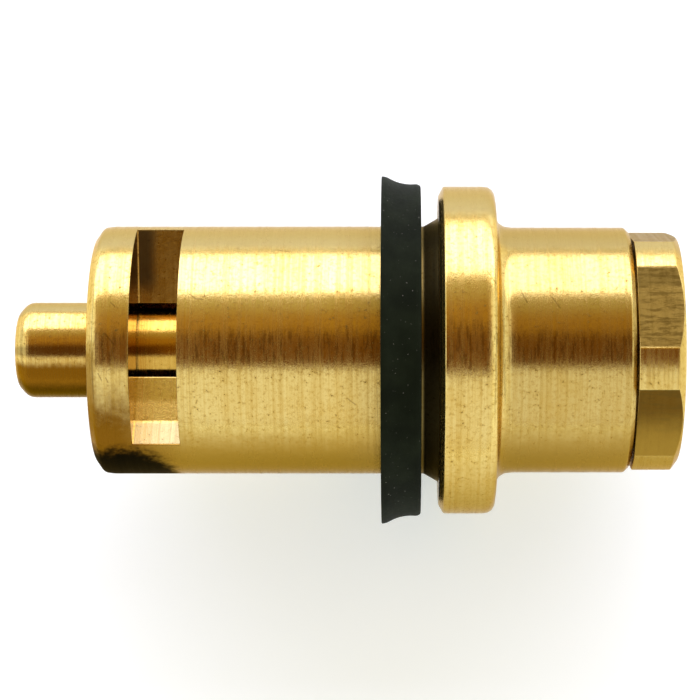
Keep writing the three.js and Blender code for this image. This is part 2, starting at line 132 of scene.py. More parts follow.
class Wire:
    """A number, colour or vector on a wire of one material's tree. Arithmetic on wires
    adds Math nodes, and node() adds any other node and hands back one of its outputs."""

    def __init__(self, tree, socket):
        self.tree = tree
        self.socket = socket

    def node(self, kind, inputs, output=0, **settings):
        made = self.tree.nodes.new(kind)
        for key, value in settings.items():
            setattr(made, key, value)
        for key, value in inputs.items():
            if isinstance(value, Wire):
                self.tree.links.new(value.socket, made.inputs[key])
            else:
                made.inputs[key].default_value = value
        return Wire(self.tree, made.outputs[output])

    def math(self, operation, *values):
        return self.node("ShaderNodeMath", dict(enumerate(values)), operation=operation)

    def __add__(self, other):
        return self.math("ADD", self, other)

    def __radd__(self, other):
        return self.math("ADD", other, self)

    def __sub__(self, other):
        return self.math("SUBTRACT", self, other)

    def __rsub__(self, other):
        return self.math("SUBTRACT", other, self)

    def __mul__(self, other):
        return self.math("MULTIPLY", self, other)

    def __rmul__(self, other):
        return self.math("MULTIPLY", other, self)

    def __truediv__(self, other):
        return self.math("DIVIDE", self, other)

    def __pow__(self, other):
        return self.math("POWER", self, other)

    def __abs__(self):
        return self.math("ABSOLUTE", self)

    def least(self, other):
        return self.math("MINIMUM", self, other)

    def most(self, other):
        return self.math("MAXIMUM", self, other)

    def fade(self, start, end):
        """0 at start and 1 at end, smooth between them. start may be the larger one."""
        low, high, first, last = (start, end, 0.0, 1.0) if start < end else (end, start, 1.0, 0.0)
        inputs = {"Value": self, "From Min": low, "From Max": high, "To Min": first, "To Max": last}
        return self.node("ShaderNodeMapRange", inputs, interpolation_type="SMOOTHSTEP")

    def mix(self, first, second):
        """The first colour where this mask is 0 and the second where it is 1."""
        return self.node("ShaderNodeMix", {0: self, 6: first, 7: second}, 2, data_type="RGBA")

    def vector(self, x, y, z):
        return self.node("ShaderNodeCombineXYZ", {0: x, 1: y, 2: z})

    def noise(self, vector, scale, detail=2.0, roughness=0.5):
        inputs = {"Vector": vector, "Scale": scale, "Detail": detail, "Roughness": roughness}
        return self.node("ShaderNodeTexNoise", inputs, "Fac")

    def bump(self, height, distance, strength=1.0, under=None):
        inputs = {"Height": height, "Distance": distance, "Strength": strength}
        if under is not None:
            inputs["Normal"] = under
        return self.node("ShaderNodeBump", inputs)


ROOM_DARK = (0.19, 0.070, 0.002, 1.0)
ROOM_BROWN = (0.46, 0.245, 0.030, 1.0)
ROOM_TAN = (0.56, 0.44, 0.17, 1.0)
ROOM_PALE = (0.60, 0.59, 0.56, 1.0)
world = bpy.data.worlds.new("dim_room")
world.use_nodes = True
bpy.context.scene.world = world
room = Wire(world.node_tree, None)
room_direction = room.node("ShaderNodeTexCoord", {}, "Generated")
room_x, room_y = (room.node("ShaderNodeSeparateXYZ", {0: room_direction}, i) for i in (0, 1))
room_colour = room_y.fade(-0.10, 0.12).mix(ROOM_DARK, ROOM_BROWN)
room_colour = room_y.fade(0.22, 0.50).mix(room_colour, ROOM_TAN)
room_colour = abs(room_x).fade(0.45, 0.85).mix(room_colour, ROOM_PALE)
world.node_tree.links.new(room_colour.socket, world.node_tree.nodes["Background"].inputs["Color"])
bpy.context.scene.view_settings.view_transform = "Standard"


def finish(name, metallic=0.0, roughness=0.5, **constants):
    """A material with one Principled shader. Returns it, its shader node, and the wires
    of the place on the piece in millimetres: the place itself, x, y, z."""
    material = bpy.data.materials.new(name)
    material.use_nodes = True
    tree = material.node_tree
    shader = tree.nodes["Principled BSDF"]
    shader.inputs["Metallic"].default_value = metallic
    shader.inputs["Roughness"].default_value = roughness
    for key, value in constants.items():
        shader.inputs[key.replace("_", " ")].default_value = value
    start = Wire(tree, None)
    place = start.node("ShaderNodeTexCoord", {}, "Object")
    place = place.node("ShaderNodeVectorMath", {0: place, "Scale": 1000.0}, operation="SCALE")
    axes = [place.node("ShaderNodeSeparateXYZ", {0: place}, i) for i in range(3)]
    return material, shader, (place, *axes)


def feed(shader, **wires):
    """Links wires to the shader's sockets, whose names have _ for a space."""
    for key, wire in wires.items():
        wire.tree.links.new(wire.socket, shader.inputs[key.replace("_", " ")])


# ---------------------------------------------------------------------------------------
# The table: a plain pale board under the flange's rubber ring, wide enough to fill any
# view, with a barely mottled matt face.
# ---------------------------------------------------------------------------------------
TABLE_Z = cad_low[2] - 0.02 * MM
TABLE_REACH = 3.0

table_paint, table_shader, (table_place, *_) = finish(
    "pale_table", roughness=0.75, Emission_Color=(0.80, 0.95, 1.0, 1.0), Emission_Strength=0.30
)
mottle = table_place.noise(table_place, 0.02, 3.0)
feed(table_shader, Base_Color=mottle.mix((0.87, 0.90, 0.90, 1.0), (0.90, 0.93, 0.93, 1.0)))
table_mesh = bpy.data.meshes.new("table")
table_corners = [
    (x_side * TABLE_REACH, y_side * TABLE_REACH, TABLE_Z)
    for x_side, y_side in ((-1, -1), (1, -1), (1, 1), (-1, 1))
]
table_mesh.from_pydata(table_corners, [], [(0, 1, 2, 3)])
table_mesh.materials.append(table_paint)
table = bpy.data.objects.new("table", table_mesh)
bpy.context.scene.collection.objects.link(table)
table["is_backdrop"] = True

# ---------------------------------------------------------------------------------------
# The barrel: one piece of brass bar, turned outside and bored inside, with the flange,
# its collar and the boss for the plug. The slot was sawn across it by a round cutter
# with a flat edge, and every edge was left with only a trace of a chamfer.
# ---------------------------------------------------------------------------------------
NOSE_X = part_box("valve_body")[0][0] / MM
BOSS_END_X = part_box("valve_body")[1][0] / MM
GUIDE_RADIUS = 4.9
BARREL_RADIUS = 12.1
FLANGE_RADIUS = 16.0
FLANGE_END_X = 5.5
BOSS_RADIUS = 12.0
PLUG_BORE = 10.0
SPRING_BORE = 8.6
GLAND_BORE = 7.2
CLIP_GROOVE = 7.8
SLOT_FRONT_X = -29.1
SLOT_REAR_X = -24.6
SLOT_NEAR_FLOOR = ((3.55, 3.38), (6.0, 3.74), (8.3, 4.17), (10.8, 5.46))
SLOT_FAR_FLOOR = ((3.9, 2.97), (10.5, 6.01))
SLOT_EDGE = 0.09
RING_INSIDE = 88
RING_OUTSIDE = 168
SLOT_COLUMNS = 12


def softened(corners, closed=True, steps=5, hold=0.05):
    """Rounds a profile given as [x, radius, cut] corners, in mm. The two points that lie
    cut away from a corner along its sides are joined by the parabola whose control point
    is the corner, and one more point on each side keeps the flat sides flat in shading.
    An open profile keeps its two ends."""
    corners = np.asarray(corners, float)
    here = corners[:, :2]
    side = np.roll(here, -1, axis=0) - here
    length = np.linalg.norm(side, axis=1, keepdims=True)
    ahead = side / length
    behind = np.roll(ahead, 1, axis=0)
    room = np.minimum(length, np.roll(length, 1, axis=0))
    cut = np.minimum(corners[:, 2:], 0.45 * room)
    start = here - behind * cut
    end = here + ahead * cut
    s = np.linspace(0.0, 1.0, steps)[None, :, None]
    bend = (1 - s) ** 2 * start[:, None] + 2 * s * (1 - s) * here[:, None] + s**2 * end[:, None]
    rest = np.minimum(hold, 0.04 * room)
    rows = np.concatenate([(start - behind * rest)[:, None], bend, (end + ahead * rest)[:, None]], 1)
    if closed:
        return rows.reshape(-1, 2)
    return np.concatenate([here[:1], rows[1:-1].reshape(-1, 2), here[-1:]])


def spun(x, radius, angle):
    """Points in metres: (x, radius sin angle, radius cos angle), angles from +Z."""
    return MM * np.stack(np.broadcast_arrays(x, radius * np.sin(angle), radius * np.cos(angle)), -1)


def turned(profile, angles):
    """The grid of a profile's points, one row each, spun about X to the given angles."""
    return spun(profile[:, :1], profile[:, 1:], angles)


def full_ring(count):
    """Evenly spread angles round the axis, the last one step short of the first."""
    return np.arange(count) * (2 * np.pi / count)


def quads(rows, columns, wrap_rows, wrap_columns):
    """Corner indices of the squares of a grid, row by row."""
    i = np.arange(rows if wrap_rows else rows - 1)[:, None]
    j = np.arange(columns if wrap_columns else columns - 1)[None, :]
    i, j = np.broadcast_arrays(i, j)
    below, beside = (i + 1) % rows, (j + 1) % columns
    corners = [i * columns + j, i * columns + beside, below * columns + beside, below * columns + j]
    return np.stack(corners, -1).reshape(-1, 4)


def made_mesh(name, grids, sharp=32.0):
    """One closed mesh from (points, wrap rows, wrap columns) grids that share their edges:
    the shared points are welded, the faces turned outwards, and edges that bend by more
    than the sharp angle are kept sharp in shading."""
    points, faces, count = [], [], 0
    for grid, wrap_rows, wrap_columns in grids:
        points.append(grid.reshape(-1, 3))
        faces.append(quads(grid.shape[0], grid.shape[1], wrap_rows, wrap_columns) + count)
        count += len(points[-1])
    mesh = bpy.data.meshes.new(name)
    mesh.from_pydata(np.concatenate(points).tolist(), [], np.concatenate(faces).tolist())
    work = bmesh.new()
    work.from_mesh(mesh)
    bmesh.ops.remove_doubles(work, verts=work.verts, dist=0.0008 * MM)
    bmesh.ops.dissolve_degenerate(work, edges=work.edges, dist=0.0004 * MM)
    bmesh.ops.recalc_face_normals(work, faces=work.faces)
    work.to_mesh(mesh)
    work.free()
    mesh.shade_smooth()
    mesh.set_sharp_from_angle(angle=math.radians(sharp))
    return mesh


def placed(name, mesh, material, body, slot, *nodes):
    """Puts a finished mesh in the scene, on its body, in place of the CAD nodes."""
    mesh.materials.append(material)
    piece = bpy.data.objects.new(name, mesh)
    bpy.context.scene.collection.objects.link(piece)
    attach(piece, body)
    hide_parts(*nodes)
    return piece


def floor_angle(radius, floor):
    """The angle from +Z where one of the slot's two floors crosses a radius. A floor is a
    line through (distance from the middle, height above the axis) points."""
    steps = np.linspace(0.0, len(floor) - 1.0, 600)
    points = np.arange(len(floor))
    across, height = (np.interp(steps, points, column) for column in np.transpose(floor))
    return np.interp(radius, np.hypot(across, height), np.arctan2(across, height))


def slot_ends(radius, spread):
    """The angles at which the slot begins, on the near floor, and ends, on the far one."""
    near = -floor_angle(radius, SLOT_NEAR_FLOOR) - spread / radius
    return near, floor_angle(radius, SLOT_FAR_FLOOR) + spread / radius


def slot_ring(near, far):
    """Angles all round a row, with RING_INSIDE steps across the slot's opening."""
    near, far = np.reshape(near, (-1, 1)), np.reshape(far, (-1, 1))
    inside = near + (far - near) * np.linspace(0.0, 1.0, RING_INSIDE + 1)
    outside = far + (2 * np.pi + near - far) * np.linspace(0.0, 1.0, RING_OUTSIDE + 1)[1:-1]
    return np.concatenate([inside, outside], axis=1)


def slot_loop(spread, ends, radius):
    """The outline of the slot at one depth: along the front wall, the far floor, the rear
    wall and the near floor. spread is how far it lies outside the walls."""
    front, rear = SLOT_FRONT_X - spread, SLOT_REAR_X + spread
    near, far = ends
    along = np.linspace(near, far, RING_INSIDE + 1)[:-1]
    across = np.linspace(front, rear, SLOT_COLUMNS + 1)[:-1]
    walls = np.full(RING_INSIDE, front), np.full(RING_INSIDE, rear)
    floors = np.full(SLOT_COLUMNS, far), np.full(SLOT_COLUMNS, near)
    x = np.concatenate([walls[0], across, walls[1], front + rear - across])
    return spun(x, radius, np.concatenate([along, floors[0], near + far - along, floors[1]]))


outer_ends = slot_ends(BARREL_RADIUS, SLOT_EDGE)
inner_ends = slot_ends(GUIDE_RADIUS, SLOT_EDGE)
nose_profile = softened(
    [
        [SLOT_FRONT_X - SLOT_EDGE, GUIDE_RADIUS, 0.0],
        [NOSE_X + 0.3, GUIDE_RADIUS, 0.05],
        [NOSE_X, GUIDE_RADIUS + 0.3, 0.05],
        [NOSE_X, BARREL_RADIUS - 1.2, 0.2],
        [NOSE_X + 0.75, BARREL_RADIUS - 0.12, 0.3],
        [NOSE_X + 1.6, BARREL_RADIUS, 0.3],
        [SLOT_FRONT_X - SLOT_EDGE, BARREL_RADIUS, 0.0],
    ],
    closed=False,
)
rear_profile = softened(
    [
        [SLOT_REAR_X + SLOT_EDGE, BARREL_RADIUS, 0.0],
        [-1.4, BARREL_RADIUS, 0.08],
        [-0.02, 12.9, 0.06],
        [0.0, 15.1, 0.06],
        [0.5, FLANGE_RADIUS, 0.14],
        [FLANGE_END_X, FLANGE_RADIUS, 1.2],
        [FLANGE_END_X, BOSS_RADIUS, 1.7],
        [BOSS_END_X - 0.45, BOSS_RADIUS, 0.12],
        [BOSS_END_X, BOSS_RADIUS - 0.45, 0.06],
        [BOSS_END_X, PLUG_BORE + 0.3, 0.05],
        [BOSS_END_X - 0.3, PLUG_BORE, 0.05],
        [12.0, PLUG_BORE, 0.1],
        [12.0, SPRING_BORE, 0.08],
        [-7.8, SPRING_BORE, 0.3],
        [-7.8, GLAND_BORE, 0.1],
        [-8.45, GLAND_BORE, 0.05],
        [-8.45, CLIP_GROOVE, 0.05],
        [-9.75, CLIP_GROOVE, 0.05],
        [-9.75, GLAND_BORE, 0.05],
        [-20.0, GLAND_BORE, 0.3],
        [-20.0, GUIDE_RADIUS, 0.1],
        [SLOT_REAR_X + SLOT_EDGE, GUIDE_RADIUS, 0.0],
    ],
    closed=False,
)


def slotted_rows(profile):
    """A profile's grid whose points line up with the slot's edge, inside or outside."""
    inside = profile[:, 1] < GUIDE_RADIUS + 1.0
    ends = (np.where(inside, inner, outer) for inner, outer in zip(inner_ends, outer_ends))
    return spun(profile[:, :1], profile[:, 1:], slot_ring(*ends))


def beside_slot(radius, ends):
    """The strip of a bore or of the barrel that runs past the slot's two ends."""
    x = np.linspace(SLOT_FRONT_X - SLOT_EDGE, SLOT_REAR_X + SLOT_EDGE, SLOT_COLUMNS + 1)[:, None]
    near, far = ends
    return spun(x, radius, np.linspace(far, 2 * np.pi + near, RING_OUTSIDE + 1)[None, :])


slot_edge = [(SLOT_EDGE * s**2, SLOT_EDGE * (1 - s) ** 2) for s in np.linspace(0.0, 1.0, 4)]
slot_walls = np.linspace(BARREL_RADIUS - SLOT_EDGE - 0.05, GUIDE_RADIUS + SLOT_EDGE + 0.05, 34)
slot_levels = [
    *((BARREL_RADIUS - depth, spread) for depth, spread in slot_edge),
    *((level, 0.0) for level in slot_walls),
    *((GUIDE_RADIUS + depth, spread) for depth, spread in reversed(slot_edge)),
]
slot_rows = [slot_loop(spread, slot_ends(level, spread), level) for level, spread in slot_levels]

barrel_mesh = made_mesh(
    "brass_barrel",
    [
        (slotted_rows(nose_profile), False, True),
        (slotted_rows(rear_profile), False, True),
        (beside_slot(BARREL_RADIUS, outer_ends), False, False),
        (beside_slot(GUIDE_RADIUS, inner_ends), False, False),
        (np.stack(slot_rows), False, True),
    ],
)


def scratch(u, v, start, end, width):
    """1 on the line from start to end of the (u, v) sheet, and 0 from the width away."""
    du, dv = end[0] - start[0], end[1] - start[1]
    along = ((u - start[0]) * du + (v - start[1]) * dv) / (du * du + dv * dv)
    along = along.most(0.0).least(1.0)
    away = ((u - start[0] - along * du) ** 2.0 + (v - start[1] - along * dv) ** 2.0) ** 0.5
    return away.fade(width, width * 0.25)


def turned_brass(name, pale, deep, roughness, lines, blotch, marks_and_shade, milled=None):
    """Brass with the fine rings that a lathe tool leaves: they follow x on the round sides
    and the radius on the end faces, so the pattern runs on x + radius. Where the milled
    mask is 1 it runs on x alone. Broad clouds of tarnish deepen the colour, small dark
    pits are scattered over it, and the function passed in for the marks adds real marks,
    painted shade and painted reflections to the colour, changes the roughness and returns
    a mask of scratches."""
    material, shader, (place, x, y, z) = finish(
        name,
        metallic=1.0,
        roughness=roughness,
        Anisotropic=0.45,
        Anisotropic_Rotation=0.25,
        Specular_Tint=(0.88, 0.72, 0.48, 1.0),
    )
    radius = (y * y + z * z) ** 0.5
    reach = x + radius * (1.0 - milled(x, y, z, radius)) if milled else x + radius
    fine = place.noise(place.vector(reach * lines, y * 0.04, z * 0.04), 1.0, 3.0, 0.65)
    broad = place.noise(place.vector(reach * (lines / 9.0), y * 0.03, z * 0.03), 1.0, 2.0)
    cloud = place.noise(place, 0.16, 4.0, 0.6)
    grain = place.noise(place, 2.6, 4.0, 0.75)
    speck = place.noise(place, 2.6, 2.0, 0.7).fade(0.66, 0.73)
    tarnish = cloud.fade(0.35, 0.75) * blotch + fine.fade(0.3, 0.7) * 0.5
    tarnish = tarnish + grain.fade(0.4, 0.7) * 0.45
    colour = tarnish.mix(pale, deep)
    dull = fine.fade(0.48, 0.68) * 0.18 + grain.fade(0.50, 0.66) * 0.38
    colour = dull.mix(colour, (0.40, 0.25, 0.05, 1.0))
    colour = (speck * 0.6).mix(colour, (0.10, 0.055, 0.012, 1.0))
    rough = roughness + (fine - 0.5) * 0.34 + (grain - 0.5) * 0.20 + speck * 0.2
    normal = place.bump(fine, 0.016 * MM, 0.8)
    normal = place.bump(broad, 0.010 * MM, 0.5, normal)
    normal = place.bump(grain, 0.020 * MM, 0.5, normal)
    normal = place.bump(speck, 0.015 * MM, -0.5, normal)
    # The marks function adds real marks and also painted shade and painted reflections.
    colour, rough, cuts = marks_and_shade(place, x, y, z, radius, colour, rough)
    normal = place.bump(cuts, 0.05 * MM, -0.8, normal)
    tangent = place.node("ShaderNodeTangent", {}, direction_type="RADIAL", axis="X")
    feed(shader, Base_Color=colour, Roughness=rough, Normal=normal, Tangent=tangent)
    return material


# Colours of painted reflections: the brown and the black are painted dark reflections on the near
# side of the nose and the pin, and the pale one is a painted dull reflection on the top sides.
PAINTED_BROWN_REFLECTION = (0.18, 0.08, 0.005, 1.0)
PAINTED_PALE_REFLECTION = (0.43, 0.345, 0.145, 1.0)
PAINTED_BLACK_REFLECTION = (0.005, 0.005, 0.004, 1.0)
MARK_TURN = 15.0
SCRATCH_WIDTH = 0.09
BARREL_SCRATCHES = (
    ((-23.4, 25.5), (-22.9, 23.6)),
    ((-22.9, 23.6), (-22.2, 23.0)),
    ((-30.8, 21.5), (-30.4, 19.6)),
    ((-31.3, 7.5), (-30.4, 2.5)),
    ((-31.9, -10.5), (-31.6, -13.5)),
    ((-31.2, -12.5), (-31.0, -14.5)),
    ((-33.0, -27.0), (-32.2, -30.0)),
    ((10.4, 25.0), (11.3, 19.0)),
    ((7.6, 28.0), (8.2, 21.5)),
    ((4.4, 27.0), (5.2, 22.5)),
    ((-15.5, 52.0), (-14.2, 50.5)),
    ((-8.6, -22.0), (-7.9, -25.0)),
    ((6.8, -61.8), (6.9, -62.4)),
    ((9.1, 31.5), (9.2, 31.0)),
)


def slot_faces(x, y, z, radius):
    """1 on the walls and floors of the slot and 0 on the rest of the barrel."""
    along = x.fade(SLOT_FRONT_X - 0.06, SLOT_FRONT_X + 0.02)
    along = along * x.fade(SLOT_REAR_X + 0.06, SLOT_REAR_X - 0.02)
    return along * radius.fade(BARREL_RADIUS - 0.08, BARREL_RADIUS - 0.2) * z.fade(1.0, 2.0)


def barrel_wear_and_painted_shade(place, x, y, z, radius, colour, rough):
    """Painted shade and painted reflections among real marks: a pale, dull painted reflection
    on top and painted shade below, a dark painted reflection on the near side of the nose
    with a black painted reflection low down under it, dark lines along the middle of the
    side, painted shade over real dirt in the narrow gap by the flange, painted shade on the
    far floor of the slot with a darker patch near the front wall, a painted pale reflection
    at the outer end of the near floor, a bright front wall, and knocks. turn is the angle
    in degrees at which the marks lie, counted from MARK_TURN short of the top."""
    side = y / radius
    rag = (place.noise(place, 0.9, 4.0, 0.7) - 0.5) * 0.5
    turn = y.math("ARCTAN2", y, z) * (180.0 / math.pi) + MARK_TURN
    in_slot = slot_faces(x, y, z, radius)
    skin = 1.0 - in_slot
    round_side = skin * x.fade(-33.1, -32.5)
    # Painted shade: the lower side is darkened, less so on the flange.
    under = (rag * 0.2 - side).fade(0.69, 0.95) * round_side
    colour = (under * (1.0 - radius.fade(14.0, 15.0) * 0.5)).mix(colour, (0.34, 0.205, 0.028, 1.0))
    # Painted reflection: the top side gets a pale, dull colour.
    top = (side + rag * 0.04).fade(0.55, 0.67) * round_side
    colour = (top * 0.9).mix(colour, PAINTED_PALE_REFLECTION)
    rim = (radius + rag * 2.0).fade(6.5, 10.0)
    # Painted dark reflection on the near side of the nose.
    near_side_painted_dark = (rag * 0.6 - side).fade(0.42, 0.80) * (x + rag * 4.0).fade(-23.0, -30.5)
    near_side_painted_dark = near_side_painted_dark * skin * rim
    colour = near_side_painted_dark.mix(colour, PAINTED_BROWN_REFLECTION)
    # Painted dark reflection on the near side of the nose's end.
    nose_edge_painted_dark = (rag * 0.4 - side).fade(0.10, 0.35) * (x + rag * 0.5).fade(-32.0, -32.5)
    colour = (nose_edge_painted_dark * rim * 0.75).mix(colour, PAINTED_BROWN_REFLECTION)
    # Painted black reflection low on the near side of the nose, also made rougher.
    across, down = (x + 30.2) / 5.2, (turn + 80.0) / 31.0
    painted_black_patch = ((across * across + down * down) ** 0.5 + rag * 1.1).fade(1.12, 0.74) * skin
    painted_black_patch = painted_black_patch * (radius + rag).fade(9.8, 11.0)
    colour = painted_black_patch.mix(colour, PAINTED_BLACK_REFLECTION)
    collar = x.fade(-10.5, -5.5) * radius.fade(12.5, 12.2)
    colour = (collar * 0.3).mix(colour, (0.30, 0.20, 0.05, 1.0))
    lines = place.noise(place.vector(x * 3.0, y * 0.45, z * 0.45), 1.0, 5.0, 0.8)
    streaks = lines.fade(0.47, 0.60) * abs(turn + rag * 8.0 - 1.0).fade(12.0, 4.0) * skin
    colour = (streaks * 0.55).mix(colour, (0.20, 0.11, 0.012, 1.0))
    # Real grime and painted shade, nearly black, in the narrow gap by the flange.
    grime_and_painted_shade = x.fade(-1.9, -1.4) * radius.fade(13.1, 12.9) * x.fade(0.4, 0.2)
    colour = (grime_and_painted_shade * 0.85).mix(colour, (0.03, 0.026, 0.012, 1.0))
    front_wall = x.fade(-29.0, -29.06) * in_slot
    floor = in_slot * x.fade(-29.07, -29.0)
    # Painted shade: the slot's far floor is dark brown, and a painted pale reflection lies at the
    # outer end of the near floor.
    colour = (floor * y.fade(1.0, 2.0) * (0.93 + rag * 0.5)).mix(colour, (0.20, 0.085, 0.006, 1.0))
    colour = (floor * (rag * 0.8 - y).fade(8.0, 8.5) * 0.9).mix(colour, (0.36, 0.31, 0.15, 1.0))
    # A darker patch on the far floor near the front wall.
    front_corner_dark = floor * (y + rag * 2.0).fade(4.2, 6.4) * (x + rag * 1.5).fade(-26.9, -28.2)
    colour = (front_corner_dark * 0.75).mix(colour, (0.05, 0.04, 0.02, 1.0))
    rough = rough + near_side_painted_dark * 0.05 + painted_black_patch * 0.65 + (front_corner_dark + grime_and_painted_shade) * 0.2 - front_wall * 0.16
    arc = turn * radius * (math.pi / 180.0)
    cuts = None
    for start, end in BARREL_SCRATCHES:
        reach = FLANGE_RADIUS if 0.0 < start[0] < FLANGE_END_X else BARREL_RADIUS
        ends = [(along, math.radians(angle) * reach) for along, angle in (start, end)]
        cut = scratch(x + rag * 0.15, arc + rag * 0.3, *ends, SCRATCH_WIDTH)
        cuts = cut if cuts is None else cuts.most(cut)
    cuts = cuts * skin
    colour = (cuts * 0.5).mix(colour, (0.20, 0.12, 0.025, 1.0))
    return colour, rough, cuts


barrel_brass = turned_brass(
    "barrel_brass",
    pale=(0.78, 0.63, 0.23, 1.0),
    deep=(0.66, 0.46, 0.11, 1.0),
    roughness=0.23,
    lines=3.4,
    blotch=0.5,
    marks_and_shade=barrel_wear_and_painted_shade,
    milled=slot_faces,
)
placed("brass_barrel", barrel_mesh, barrel_brass, "cartridge", "brass", "valve_body")

# ---------------------------------------------------------------------------------------
# The rubber ring: moulded black rubber pushed over the barrel up to the collar. Its front
# lip stands proud and its outer face is hollow, so the lip is pressed down by the seat.
# ---------------------------------------------------------------------------------------
RING_START_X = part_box("flange_gasket")[0][0] / MM
RING_END_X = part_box("flange_gasket")[1][0] / MM
RING_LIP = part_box("flange_gasket")[1][2] / MM
RING_INNER = 12.3

ring_profile = softened(
    [
        [RING_START_X, RING_INNER, 0.2],
        [RING_START_X, RING_LIP, 0.12],
        [RING_START_X + 0.45, RING_LIP - 0.06, 0.25],
        [RING_START_X + 1.5, RING_LIP - 0.60, 0.6],
        [RING_START_X + 2.6, RING_LIP - 0.80, 0.5],
        [RING_END_X - 0.35, RING_LIP - 0.76, 0.3],
        [RING_END_X, RING_LIP - 0.95, 0.15],
        [RING_END_X, RING_INNER, 0.2],
    ]
)
ring_mesh = made_mesh("rubber_ring", [(turned(ring_profile, full_ring(256)), True, True)])


def black_rubber(name, colour, dusty):
    """Moulded rubber: near black, slightly greyed where it is rubbed, with pale dust."""
    material, shader, (place, *_) = finish(
        name, roughness=0.7, Specular_IOR_Level=0.09, Specular_Tint=(0.80, 1.0, 0.62, 1.0)
    )
    grain = place.noise(place, 3.0, 4.0, 0.6)
    rub = place.noise(place, 0.35, 3.0)
    dust = place.noise(place, 4.5, 1.0).fade(0.73, 0.80) * dusty
    shade = rub.fade(0.35, 0.8).mix(colour, tuple(2.4 * c for c in colour[:3]) + (1.0,))
    shade = dust.mix(shade, (0.30, 0.29, 0.25, 1.0))
    normal = place.bump(grain, 0.03 * MM, 0.5)
    feed(shader, Base_Color=shade, Roughness=0.62 + grain * 0.2, Normal=normal)
    return material


ring_rubber = black_rubber("ring_rubber", (0.0036, 0.0050, 0.0024, 1.0), 0.4)
placed("rubber_ring", ring_mesh, ring_rubber, "cartridge", "gasket_rubber", "flange_gasket")

# ---------------------------------------------------------------------------------------
# The end plug: a brass plug screwed into the boss. Its head is as wide as the boss, with
# six milled flats for a spanner and a chamfered end, and a plastic bush guides the stem.
# ---------------------------------------------------------------------------------------
PLUG_START_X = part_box("end_plug")[0][0] / MM
PLUG_END_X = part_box("end_plug")[1][0] / MM
PLUG_HEAD_X = PLUG_END_X - 4.5
PLUG_RADIUS = 11.9
PLUG_FLAT = 11.12
PLUG_TURN = math.radians(6.5)
PLUG_FACE_RADIUS = 10.95
PLUG_CONE = 0.75

flat_half = math.acos(PLUG_FLAT / PLUG_RADIUS)
edge_hold = math.radians(0.35)
one_flat = np.concatenate(
    [
        np.linspace(-flat_half + edge_hold, flat_half - edge_hold, 24),
        [flat_half, flat_half + edge_hold],
        np.linspace(flat_half + edge_hold, math.pi / 3 - flat_half - edge_hold, 10)[1:],
        [math.pi / 3 - flat_half],
    ]
)
plug_angles = PLUG_TURN + (one_flat + np.arange(6)[:, None] * (math.pi / 3)).reshape(-1)
to_flat = (plug_angles - PLUG_TURN + math.pi / 6) % (math.pi / 3) - math.pi / 6
head_radius = np.minimum(PLUG_RADIUS, PLUG_FLAT / np.cos(to_flat))
cone_x = PLUG_END_X - (head_radius - PLUG_FACE_RADIUS) * PLUG_CONE

plug_front = softened(
    [
        [PLUG_END_X, 3.6, 0.0],
        [19.2, 3.6, 0.05],
        [19.2, 2.6, 0.05],
        [15.5, 2.6, 0.05],
        [15.5, 4.3, 0.1],
        [PLUG_START_X, 4.3, 0.06],
        [PLUG_START_X, 9.4, 0.05],
        [PLUG_START_X + 0.3, 9.7, 0.05],
        [15.6, 9.7, 0.05],
        [15.6, 8.1, 0.1],
        [17.6, 8.1, 0.1],
        [17.6, 9.7, 0.05],
        [PLUG_HEAD_X, 9.7, 0.05],
        [PLUG_HEAD_X, 10.4, 0.0],
    ],
    closed=False,
)


def bent(start, corner, end, steps=5):
    """Rows of the parabola from start to end with its control point at the corner, each
    of them an (x, radius) pair of arrays over the angles."""
    points = list(zip(start, corner, end))
    return [
        tuple((1 - s) ** 2 * a + 2 * s * (1 - s) * c + s**2 * b for a, c, b in points)
        for s in np.linspace(0.0, 1.0, steps)
    ]


even = np.ones_like(head_radius)
cone_length = np.hypot(PLUG_END_X - cone_x, head_radius - PLUG_FACE_RADIUS)
cone_step_x = (PLUG_END_X - cone_x) / cone_length
cone_step_r = (PLUG_FACE_RADIUS - head_radius) / cone_length
head_rows = [
    *bent(
        (PLUG_HEAD_X * even, head_radius - 0.12),
        (PLUG_HEAD_X * even, head_radius),
        ((PLUG_HEAD_X + 0.12) * even, head_radius),
    ),
    ((PLUG_HEAD_X + 0.2) * even, head_radius),
    (cone_x - 0.2, head_radius),
    *bent(
        (cone_x - 0.1, head_radius),
        (cone_x, head_radius),
        (cone_x + 0.1 * cone_step_x, head_radius + 0.1 * cone_step_r),
    ),
    (cone_x + 0.15 * cone_step_x, head_radius + 0.15 * cone_step_r),
    (PLUG_END_X - 0.15 * cone_step_x, PLUG_FACE_RADIUS - 0.15 * cone_step_r),
    *bent(
        (PLUG_END_X - 0.1 * cone_step_x, PLUG_FACE_RADIUS - 0.1 * cone_step_r),
        (PLUG_END_X * even, PLUG_FACE_RADIUS * even),
        (PLUG_END_X * even, (PLUG_FACE_RADIUS - 0.1) * even),
    ),
    (PLUG_END_X * even, (PLUG_FACE_RADIUS - 0.15) * even),
    (PLUG_END_X * even, 3.65 * even),
    (PLUG_END_X * even, 3.6 * even),
]
plug_grid = np.concatenate(
    [turned(plug_front, plug_angles), np.stack([spun(x, r, plug_angles) for x, r in head_rows])]
)
plug_mesh = made_mesh("hexagon_plug", [(plug_grid, False, True)], sharp=28.0)


def plug_flats(x, y, z, radius):
    """1 on the six flats of the plug's head and 0 on the rest of the plug."""
    flat = radius.fade(PLUG_RADIUS - 0.03, PLUG_RADIUS - 0.10)
    flat = flat * x.fade(PLUG_HEAD_X, PLUG_HEAD_X + 0.1)
    flat = flat * x.fade(PLUG_END_X - 0.02, PLUG_END_X - 0.06)
    cone = PLUG_END_X + PLUG_FACE_RADIUS * PLUG_CONE
    return flat * (x + radius * PLUG_CONE).fade(cone - 0.0125, cone - 0.0725)


